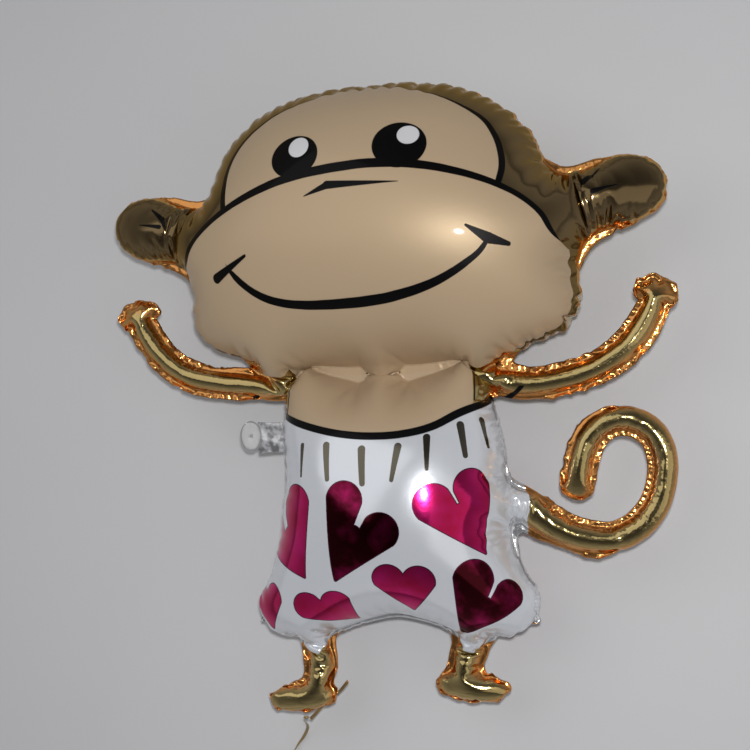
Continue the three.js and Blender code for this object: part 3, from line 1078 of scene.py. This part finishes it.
def arc_group(name, centre, hangs, points, widths):
    """A drawn line round a centre. points give its radius and widths its half width, by degrees."""
    outputs = [("Line", "NodeSocketFloat"), ("Inside", "NodeSocketFloat")]
    g, into, out = new_group(name, [("Plan", "NodeSocketVector")], outputs)
    part = put(g, "ShaderNodeSeparateXYZ")
    join(g, vector_sum(g, "SUBTRACT", into.outputs[0], (*centre, 0)), part.inputs[0])
    rise = sum_of(g, "MULTIPLY", part.outputs[1], -1.0 if hangs else 1.0)
    far = sum_of(g, "SQRT", sum_of(g, "ADD", sum_of(g, "POWER", sum_of(g, "ABSOLUTE", part.outputs[0]), 2.0),
                                   sum_of(g, "POWER", sum_of(g, "ABSOLUTE", rise), 2.0)))
    first, last = points[0][0], points[-1][0]
    over = math.radians((first + last) / 2 - 90)
    c, s = math.cos(over), math.sin(over)
    x = sum_of(g, "ADD", sum_of(g, "MULTIPLY", part.outputs[0], c), sum_of(g, "MULTIPLY", rise, s))
    y = sum_of(g, "SUBTRACT", sum_of(g, "MULTIPLY", rise, c), sum_of(g, "MULTIPLY", part.outputs[0], s))
    angle = sum_of(g, "ARCTAN2", x, y)
    half_span = math.radians((last - first) / 2)
    share = sum_of(g, "SUBTRACT", 0.5, sum_of(g, "DIVIDE", angle, 2 * half_span), clamp=True)

    def follow(table):
        node = put(g, "ShaderNodeFloatCurve")
        curve = node.mapping.curves[0]
        places = [((deg - first) / (last - first), value) for deg, value in table]
        while len(curve.points) < len(places):
            curve.points.new(0.5, 0.5)
        for spot, place in zip(curve.points, places):
            spot.location = place
        node.mapping.update()
        join(g, share, node.inputs["Value"])
        return node.outputs["Value"]

    inside = sum_of(g, "SUBTRACT", follow(points), far)
    half = sum_of(g, "SUBTRACT", follow(widths), 0.0007)
    line = sum_of(g, "SUBTRACT", half, sum_of(g, "ABSOLUTE", inside))
    join(g, line, out.inputs[0])
    join(g, inside, out.inputs[1])
    return g


def crinkle_group():
    """Fine creases of stiff film, stronger near the seam, and coarse patches that place painted reflection
    tones.
    """
    inputs = [("Seam", "NodeSocketFloat")]
    outputs = [("Height", "NodeSocketFloat"), ("Reflection patches", "NodeSocketFloat")]
    g, into, out = new_group("Film crinkle", inputs, outputs)
    coarse = speckle(g, 26, 3)
    fine = speckle(g, 140, 2)
    near = scaled(g, into.outputs[0], 0.022, -0.002, 0.06, 1.0)
    height = sum_of(g, "ADD", coarse, sum_of(g, "MULTIPLY", fine, 0.7))
    join(g, sum_of(g, "MULTIPLY", height, near), out.inputs[0])
    join(g, coarse, out.inputs[1])
    return g


stroke_depth = stroke_group()
oval_depth = oval_group()
print_edge = print_edge_group()
film_crinkle = crinkle_group()

# ---------- the printed artwork, in plan metres ----------
MUZZLE = arc_group(
    "Muzzle line", (0, 0.19), False,
    [(0, 0.320), (8, 0.282), (13, 0.257), (16.5, 0.2462), (22.5, 0.2395), (29, 0.2285), (35, 0.2150),
     (43.5, 0.1967), (52.5, 0.1812), (67, 0.1644), (83, 0.1545), (96, 0.1522), (110, 0.1570), (121, 0.1655),
     (132, 0.1784), (142.5, 0.1965), (149.5, 0.2115), (156.5, 0.2265), (161, 0.2350), (165, 0.2435),
     (172, 0.275), (180, 0.320)],
    [(0, 0.0), (12, 0.0004), (16, 0.0034), (24, 0.0043), (45, 0.0054), (90, 0.0062), (135, 0.0056),
     (158, 0.0047), (166, 0.0040), (172, 0.0), (180, 0.0)])
BROW = arc_group(
    "Brow line", (0, 0.33), False,
    [(-12, 0.1680), (-3.5, 0.1763), (2.5, 0.1812), (9, 0.1823), (16, 0.1808), (23, 0.1762), (30, 0.1668),
     (38.5, 0.1559), (49, 0.1470), (66, 0.1405), (91, 0.1380), (108, 0.1350), (125, 0.1380), (135.5, 0.1452),
     (146, 0.1530), (152, 0.1590), (160, 0.1660), (169, 0.1690), (178, 0.1660), (192, 0.1600)],
    [(-12, 0.0041), (10, 0.0050), (24, 0.0043), (38, 0.0024), (50, 0.0014), (66, 0.0010), (110, 0.0010),
     (126, 0.0014), (140, 0.0024), (152, 0.0034), (170, 0.0046), (192, 0.0050)])
SMILE = arc_group(
    "Smile line", (0, 0.30), True,
    [(12, 0.1690), (16.5, 0.1650), (20.5, 0.1607), (27.5, 0.1498), (39.5, 0.1343), (55, 0.1196), (67, 0.1128),
     (87, 0.1084), (106, 0.1133), (120, 0.1238), (130, 0.1345), (139.5, 0.1455), (147, 0.1533), (157, 0.1627),
     (164, 0.1680)],
    [(12, 0.0), (16, 0.0030), (21, 0.0043), (40, 0.0060), (67, 0.0071), (100, 0.0072), (130, 0.0065),
     (147, 0.0052), (157, 0.0039), (161, 0.0011), (164, 0.0)])
WAIST = arc_group(
    "Waist line", (0, 0.20), True,
    [(34, 0.262), (40, 0.2562), (51, 0.2490), (63, 0.2435), (72.5, 0.2470), (81, 0.2461), (89, 0.2443),
     (101.5, 0.2428), (112.5, 0.2435), (121, 0.2450), (129, 0.2490), (140, 0.2562), (146, 0.262)],
    [(34, 0.0033), (51, 0.0048), (63, 0.0055), (90, 0.0055), (121, 0.0048), (146, 0.0033)])

EYES = [((-0.0635, 0.3600), (0.0300, 0.0255)), ((0.0630, 0.3635), (0.0315, 0.0275))]
EYE_LIGHTS = [((-0.0590, 0.3705), (0.0128, 0.0122)), ((0.0730, 0.3745), (0.0130, 0.0115))]
FACE_STROKES = [   # start, end, start radius, end radius
    ((-0.0205, 0.3225), (0.0620, 0.3210), 0.0047, 0.0004),
    ((-0.0225, 0.3215), (-0.0480, 0.3125), 0.0040, 0.0006),
    ((-0.1745, 0.2320), (-0.1290, 0.2545), 0.0058, 0.0018),
    ((0.1360, 0.2710), (0.1600, 0.2565), 0.0016, 0.0064),
    ((0.1600, 0.2565), (0.1830, 0.2490), 0.0064, 0.0026),
    ((-0.3390, 0.3260), (-0.3200, 0.3120), 0.0012, 0.0034),
    ((-0.3200, 0.3120), (-0.3150, 0.2990), 0.0034, 0.0010),
    ((-0.3530, 0.3070), (-0.3230, 0.3030), 0.0006, 0.0026),
    ((0.3060, 0.3180), (0.3290, 0.3370), 0.0040, 0.0006),
    ((0.3160, 0.3060), (0.3480, 0.3120), 0.0032, 0.0005),
]
CHEST_STROKES = [
    ((-0.1220, 0.0560), (-0.1215, -0.0080), 0.0008, 0.0016),
    ((0.1270, 0.0560), (0.1270, 0.0000), 0.0006, 0.0010),
]
PLEATS = [
    ((-0.086, -0.052), (-0.088, -0.089), 0.0030, 0.0016),
    ((-0.051, -0.054), (-0.048, -0.094), 0.0044, 0.0030),
    ((-0.006, -0.060), (-0.004, -0.100), 0.0046, 0.0034),
    ((0.037, -0.058), (0.030, -0.097), 0.0044, 0.0024),
    ((0.070, -0.048), (0.070, -0.085), 0.0042, 0.0022),
    ((0.109, -0.033), (0.115, -0.069), 0.0046, 0.0032),
    ((0.137, -0.024), (0.147, -0.056), 0.0038, 0.0022),
]
HEM_POINTS = [
    ((-0.114, -0.318), (-0.116, -0.341), 0.020, 0.001),
    ((0.110, -0.318), (0.108, -0.339), 0.020, 0.001),
]
HEARTS = [   # two lobes and a point, each lobe running down to the point; first the two that are painted darker as shade
    (((-0.0270, -0.1190), 0.0220), ((0.0145, -0.1555), 0.0215), (-0.0455, -0.213)),
    (((0.1185, -0.2165), 0.0240), ((0.1590, -0.2420), 0.0185), (0.1010, -0.294)),
    (((-0.101, -0.1250), 0.0262), ((-0.150, -0.1620), 0.0225), (-0.086, -0.209)),
    (((0.0770, -0.1255), 0.0232), ((0.1235, -0.1075), 0.0232), (0.1375, -0.187)),
    (((-0.0895, -0.2490), 0.0195), ((-0.0540, -0.2470), 0.0185), (-0.0390, -0.290)),
    (((0.0195, -0.2135), 0.0190), ((0.0550, -0.2155), 0.0190), (0.0420, -0.264)),
    (((-0.1450, -0.2400), 0.0165), ((-0.1700, -0.2480), 0.0150), (-0.1580, -0.285)),
]
BACK_HEARTS = [
    (((-0.110, -0.130), 0.0220), ((-0.070, -0.120), 0.0220), (-0.075, -0.200)),
    (((0.000, -0.170), 0.0240), ((0.044, -0.160), 0.0240), (0.012, -0.250)),
    (((0.095, -0.110), 0.0210), ((0.135, -0.120), 0.0200), (0.125, -0.190)),
    (((-0.120, -0.245), 0.0190), ((-0.085, -0.240), 0.0190), (-0.100, -0.292)),
    (((0.110, -0.235), 0.0210), ((0.150, -0.240), 0.0200), (0.130, -0.296)),
]

GOLD = (0.50, 0.385, 0.165, 1)
# orange painted near the seams as painted reflection: the warm glow of puckered film mirroring itself
SEAM_GOLD_PAINTED_REFLECTION = (0.70, 0.31, 0.09, 1)
TAN = (0.475, 0.355, 0.23, 1)
# a darker copy of the gold foil, painted shade for the dark room the head's foil mirrors
HEAD_GOLD_PAINTED_SHADE = (0.18, 0.125, 0.06, 1)
EDGE_TINT = (0.80, 0.64, 0.42, 1)
WHITE_INK = (0.72, 0.745, 0.79, 1)
EYE_WHITE = (0.72, 0.72, 0.74, 1)
SILVER = (0.74, 0.75, 0.77, 1)
PLEAT_METAL = (0.15, 0.135, 0.10, 1)
# near-black red, painted shade on two of the hearts
HEART_PAINTED_SHADE = (0.055, 0.002, 0.006, 1)
HEART_RIM = (0.05, 0.01, 0.02, 1)
# heart red and pink are mixed in patches as painted reflection: the crimson and magenta a mirror foil shows
HEART_RED = (0.44, 0.007, 0.045, 1)
HEART_PINK = (0.68, 0.022, 0.21, 1)
FILM_CLEAR = (0.80, 0.80, 0.81, 1)
FILM_RIM = (0.34, 0.34, 0.35, 1)
FILM_PAINTED_SHADE = (0.24, 0.24, 0.25, 1)
FILM_PAINTED_GLINT = (0.80, 0.81, 0.83, 1)
RIBBON_DARK = (0.30, 0.21, 0.085, 1)
RIBBON_LIGHT = (0.42, 0.31, 0.14, 1)
BLACK = (0.006, 0.006, 0.007, 1)


class Finish:
    """Layers of print, each over the last, that end in one shader."""

    def __init__(self, name):
        self.material = bpy.data.materials.new(name)
        self.material.use_nodes = True
        self.tree = self.material.node_tree
        self.shader = self.tree.nodes["Principled BSDF"]
        self.colour = None
        self.metal = None
        self.rough = None

    def base(self, colour, metal, rough):
        self.colour, self.metal, self.rough = colour, metal, rough

    def over(self, mask, colour, metal, rough):
        tree = self.tree
        self.colour = blend_of(tree, mask, self.colour, colour)
        for label, value in (("metal", metal), ("rough", rough)):
            mix = put(tree, "ShaderNodeMix", data_type="FLOAT")
            join(tree, mask, mix.inputs[0])
            join(tree, getattr(self, label), mix.inputs[2])
            join(tree, value, mix.inputs[3])
            setattr(self, label, mix.outputs[0])

    def bumps(self, height, strength, distance):
        bump = put(self.tree, "ShaderNodeBump")
        bump.inputs["Strength"].default_value = strength
        bump.inputs["Distance"].default_value = distance
        join(self.tree, height, bump.inputs["Height"])
        join(self.tree, bump.outputs[0], self.shader.inputs["Normal"])

    def close(self):
        join(self.tree, self.colour, self.shader.inputs["Base Color"])
        join(self.tree, self.metal, self.shader.inputs["Metallic"])
        join(self.tree, self.rough, self.shader.inputs["Roughness"])
        return self.material


class FoilPrint(Finish):
    """Gold mirror foil with the artwork of one part of the balloon printed over it."""

    def __init__(self, name):
        super().__init__(name)
        tree = self.tree
        self.plan = put(tree, "ShaderNodeUVMap", uv_map="Print").outputs[0]
        split = put(tree, "ShaderNodeSeparateXYZ")
        join(tree, self.plan, split.inputs[0])
        self.u, self.v = split.outputs[0], split.outputs[1]
        self.aside = sum_of(tree, "ABSOLUTE", self.u)
        self.seam = put(tree, "ShaderNodeAttribute", attribute_name="Seam").outputs["Fac"]
        self.crinkle = use_group(tree, film_crinkle, Seam=self.seam)
        self.base(GOLD, 1.0, 0.13)
        # painted reflection: the foil turns orange towards the seams, standing in for the puckers mirroring
        # each other
        self.over(scaled(tree, self.seam, 0.012, 0.002, smooth=True), SEAM_GOLD_PAINTED_REFLECTION, 1.0, 0.2)

    def below(self, value, limit):
        return sum_of(self.tree, "SUBTRACT", limit, value)

    def above(self, value, limit):
        return sum_of(self.tree, "SUBTRACT", value, limit)

    def outside(self, depth):
        return sum_of(self.tree, "MULTIPLY", depth, -1.0)

    def edge(self, depth):
        return use_group(self.tree, print_edge, Depth=depth).outputs[0]

    def strokes(self, rows, so_far=-1.0):
        for start, end, first, last in rows:
            node = use_group(self.tree, stroke_depth, So_far=so_far, Plan=self.plan, Start=(*start, 0),
                             End=(*end, 0), Start_Radius=first, End_Radius=last)
            so_far = node.outputs[0]
        return so_far

    def ovals(self, rows, so_far=-1.0):
        for centre, half in rows:
            node = use_group(self.tree, oval_depth, So_far=so_far, Plan=self.plan, Centre=(*centre, 0),
                             Half=(*half, 1))
            so_far = node.outputs[0]
        return so_far

    def ink(self, depth):
        self.over(self.edge(depth), BLACK, 0.9, 0.4)

    def tan(self, depth):
        """Stops just inside the seam, and further in at the cheeks."""
        beyond = sum_of(self.tree, "MAXIMUM", self.above(self.aside, 0.14), 0.0)
        inset = sum_of(self.tree, "ADD", 0.005, sum_of(self.tree, "MULTIPLY", beyond, 0.2))
        depth = smallest(self.tree, [depth, sum_of(self.tree, "SUBTRACT", self.seam, inset)])
        self.over(self.edge(depth), TAN, 0.12, 0.4)

    def shorts(self, waist, hearts, pleats):
        """Glossy white from the waist down, with clear margins, metallic hearts with painted reflection and
        shade, and pleat marks.
        """
        tree = self.tree
        tail_side = sum_of(tree, "ADD", 0.194, sum_of(tree, "MULTIPLY", self.v, -0.12))
        legs = largest(tree, [self.above(self.v, -0.331), self.strokes(HEM_POINTS)])
        area = smallest(tree, [self.outside(waist), self.below(self.v, 0.03),
                               sum_of(tree, "SUBTRACT", tail_side, self.aside), legs])
        arms = smallest(tree, [self.above(self.aside, 0.186), self.v])
        mask = self.edge(smallest(tree, [area, self.outside(arms)]))
        self.over(mask, WHITE_INK, 0.35, 0.19)
        margin = sum_of(tree, "MULTIPLY", mask, self.edge(self.below(self.seam, 0.007)))
        self.over(margin, SILVER, 0.85, 0.18)
        shaded_hearts = self.strokes(heart_strokes(hearts[:2]))
        depth = self.strokes(heart_strokes(hearts[2:]), shaded_hearts)
        outline = self.edge(sum_of(tree, "ADD", depth, 0.0012))
        self.over(sum_of(tree, "MULTIPLY", outline, mask), HEART_RIM, 0.9, 0.2)
        # painted reflection: the hearts shift between red and pink in coarse patches
        reflection_patches = self.crinkle.outputs["Reflection patches"]
        reflection_colour = blend_of(tree, scaled(tree, reflection_patches, 0.2, 0.8), HEART_RED, HEART_PINK)
        self.over(sum_of(tree, "MULTIPLY", self.edge(depth), mask), reflection_colour, 1.0, 0.12)
        # painted shade: two hearts are darkened in patches, standing for the dark room they mirror
        deep = scaled(tree, reflection_patches, 0.9, 0.45)
        self.over(sum_of(tree, "MULTIPLY", self.edge(shaded_hearts), deep), HEART_PAINTED_SHADE, 1.0, 0.12)
        if pleats:
            self.over(self.edge(self.strokes(pleats)), PLEAT_METAL, 1.0, 0.16)

    def done(self):
        self.bumps(self.crinkle.outputs["Height"], 0.75, 0.0018)
        self.shader.inputs["Coat Weight"].default_value = 0.1
        self.shader.inputs["Coat Roughness"].default_value = 0.06
        return self.close()


def heart_strokes(rows):
    """Two lobes that each taper to the heart's point, and a filling between them."""
    out = []
    for (left, left_radius), (right, right_radius), tip in rows:
        middle = [0.36 * (left[k] + right[k]) + 0.28 * tip[k] for k in (0, 1)]
        filling = 0.5 * min(left_radius, right_radius)
        out += [(left, tip, left_radius, 0.0012), (right, tip, right_radius, 0.0012)]
        out.append((middle, tip, filling, 0.001))
    return out


def face_print():
    foil = FoilPrint("Printed face foil")
    tree = foil.tree
    foil.shader.inputs["Specular Tint"].default_value = EDGE_TINT
    head = largest(tree, [foil.above(foil.v, 0.22), foil.below(foil.aside, 0.305)])
    head = smallest(tree, [head, foil.above(foil.v, 0.1), foil.above(foil.seam, 0.010)])
    # painted shade: the head's bare gold is laid in a darker copy of the foil
    foil.over(foil.edge(head), HEAD_GOLD_PAINTED_SHADE, 1.0, 0.16)
    muzzle = use_group(tree, MUZZLE, Plan=foil.plan)
    brow = use_group(tree, BROW, Plan=foil.plan)
    smile = use_group(tree, SMILE, Plan=foil.plan)
    cheeks = largest(tree, [muzzle.outputs["Inside"], foil.below(foil.v, 0.19)])
    cheeks = smallest(tree, [cheeks, foil.below(foil.aside, 0.3)])
    shoulders = smallest(tree, [foil.above(foil.aside, 0.125), foil.below(foil.v, 0.088)])
    skin = largest(tree, [cheeks, brow.outputs["Inside"]])
    foil.tan(smallest(tree, [skin, foil.outside(shoulders)]))
    brow_line = smallest(tree, [brow.outputs["Line"], foil.outside(muzzle.outputs["Inside"])])
    lines = largest(tree, [muzzle.outputs["Line"], brow_line, smile.outputs["Line"]])
    foil.ink(foil.ovals(EYES, foil.strokes(FACE_STROKES, lines)))
    foil.over(foil.edge(foil.ovals(EYE_LIGHTS)), EYE_WHITE, 0.2, 0.25)
    return foil.done()


def shorts_print():
    foil = FoilPrint("Printed chest and shorts foil")
    tree = foil.tree
    waist = use_group(tree, WAIST, Plan=foil.plan)
    foil.tan(smallest(tree, [waist.outputs["Inside"], foil.below(foil.aside, 0.125)]))
    foil.shorts(waist.outputs["Inside"], HEARTS, PLEATS)
    line = smallest(tree, [waist.outputs["Line"], foil.below(foil.v, 0.045)])
    foil.ink(foil.strokes(CHEST_STROKES, line))
    return foil.done()


def back_print():
    foil = FoilPrint("Printed back foil")
    waist = use_group(foil.tree, WAIST, Plan=foil.plan)
    foil.shorts(waist.outputs["Inside"], BACK_HEARTS, [])
    line = smallest(foil.tree, [waist.outputs["Line"], foil.below(foil.aside, 0.186),
                                foil.below(foil.v, 0.045)])
    foil.ink(line)
    return foil.done()


def clear_film():
    """Clear round tab with a welded rim, and a crumpled neck with glints and shade painted on in light and
    dark patches.
    """
    finish = Finish("Clear film")
    tree = finish.tree
    place = put(tree, "ShaderNodeTexCoord").outputs["Object"]
    crinkle = use_group(tree, film_crinkle, Seam=0.0)
    finish.base(FILM_CLEAR, 0.0, 0.08)
    middle = Vector(lay_down([(*FILL_DISC, 0)])[0])
    oval = use_group(tree, oval_depth, So_far=-1.0, Plan=place, Centre=middle, Half=(*FILL_DISC_HALF, 1))
    disc = oval.outputs[0]
    rim = use_group(tree, print_edge, Depth=sum_of(tree, "SUBTRACT", 0.0022, disc)).outputs[0]
    finish.over(rim, FILM_RIM, 0.0, 0.15)
    # painted light and shade: the crumpled neck is laid in noise patches of pale glint and dark shade
    glint = scaled(tree, speckle(tree, 85, 3), 0.40, 0.60)
    shade = blend_of(tree, glint, FILM_PAINTED_SHADE, FILM_PAINTED_GLINT)
    neck = use_group(tree, print_edge, Depth=sum_of(tree, "SUBTRACT", -0.001, disc)).outputs[0]
    finish.over(neck, shade, 0.3, 0.12)
    cloudy = sum_of(tree, "MULTIPLY", rim, 0.42)
    join(tree, sum_of(tree, "ADD", 0.33, cloudy), finish.shader.inputs["Alpha"])
    finish.bumps(crinkle.outputs["Height"], 0.8, 0.0012)
    finish.shader.inputs["Coat Weight"].default_value = 0.5
    return finish.close()


def ribbon_satin():
    finish = Finish("Gold curling ribbon")
    grain = speckle(finish.tree, 420)
    finish.base(RIBBON_DARK, 0.55, 0.34)
    finish.over(grain, RIBBON_LIGHT, 0.7, 0.42)
    finish.bumps(grain, 0.25, 0.0003)
    return finish.close()


def plain_band():
    finish = Finish("White paper band")
    finish.base((0.78, 0.78, 0.75, 1), 0.0, 0.6)
    finish.over(speckle(finish.tree, 900), (0.66, 0.66, 0.63, 1), 0.0, 0.75)
    return finish.close()


def give(piece, material):
    piece.data.materials.clear()
    piece.data.materials.append(material)


for print_material in (face_print(), shorts_print(), back_print()):
    balloon.data.materials.append(print_material)
give(fill_film, clear_film())
ribbon_finish = ribbon_satin()
for piece in (long_ribbon, short_end, knot):
    give(piece, ribbon_finish)
band_finish = plain_band()
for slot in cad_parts["coil_tie"].material_slots:
    slot.material = band_finish


# ---------- floor and light ----------
def make_floor():
    bpy.ops.object.select_all(action="DESELECT")
    bpy.ops.mesh.primitive_plane_add(size=30, location=(0, 0, -0.0006))
    floor = bpy.context.object
    floor.name = "studio_floor"
    finish = Finish("Pale studio floor")
    finish.base((0.62, 0.62, 0.635, 1), 0.0, 0.7)
    finish.over(speckle(finish.tree, 3), (0.65, 0.65, 0.66, 1), 0.0, 0.75)
    give(floor, finish.close())


def area_light(name, place, target, size, power, colour=(1, 1, 1), round_shape=False):
    lamp = bpy.data.lights.new(name, "AREA")
    lamp.shape = "DISK" if round_shape else "RECTANGLE"
    lamp.size = size[0]
    if not round_shape:
        lamp.size_y = size[1]
    lamp.energy = power
    lamp.color = colour
    light = bpy.data.objects.new(name, lamp)
    bpy.context.scene.collection.objects.link(light)
    light.location = place
    aim = Vector(target) - Vector(place)
    light.rotation_euler = aim.to_track_quat("-Z", "Y").to_euler()
    return light


def make_world():
    """Bright low down, dim straight above, so that the foil has something to mirror."""
    world = bpy.data.worlds.new("Studio")
    bpy.context.scene.world = world
    world.use_nodes = True
    tree = world.node_tree
    place = put(tree, "ShaderNodeTexCoord")
    split = put(tree, "ShaderNodeSeparateXYZ")
    join(tree, place.outputs["Generated"], split.inputs[0])
    ramp = put(tree, "ShaderNodeValToRGB")
    join(tree, split.outputs[2], ramp.inputs[0])
    ramp.color_ramp.elements[0].position = 0.0
    ramp.color_ramp.elements[0].color = (0.45, 0.45, 0.46, 1)
    ramp.color_ramp.elements[1].position = 0.95
    ramp.color_ramp.elements[1].color = (0.04, 0.04, 0.043, 1)
    middle = ramp.color_ramp.elements.new(0.5)
    middle.color = (0.24, 0.24, 0.25, 1)
    join(tree, ramp.outputs[0], tree.nodes["Background"].inputs[0])
    tree.nodes["Background"].inputs[1].default_value = 1.0


make_floor()
make_world()
area_light("Flash", eye_at + Vector((0.02, 0.10, 0.0)), (0.05, 0.02, 0.1), (0.09, 0.09), 24, round_shape=True)
area_light("Soft key", (-1.3, 0.9, 2.8), (0, 0, 0), (2.6, 2.6), 17)
area_light("Soft fill", (1.9, -0.7, 2.4), (0, 0, 0), (2.2, 2.2), 8, (1.0, 0.97, 0.92))
bpy.context.scene.view_settings.view_transform = "Standard"
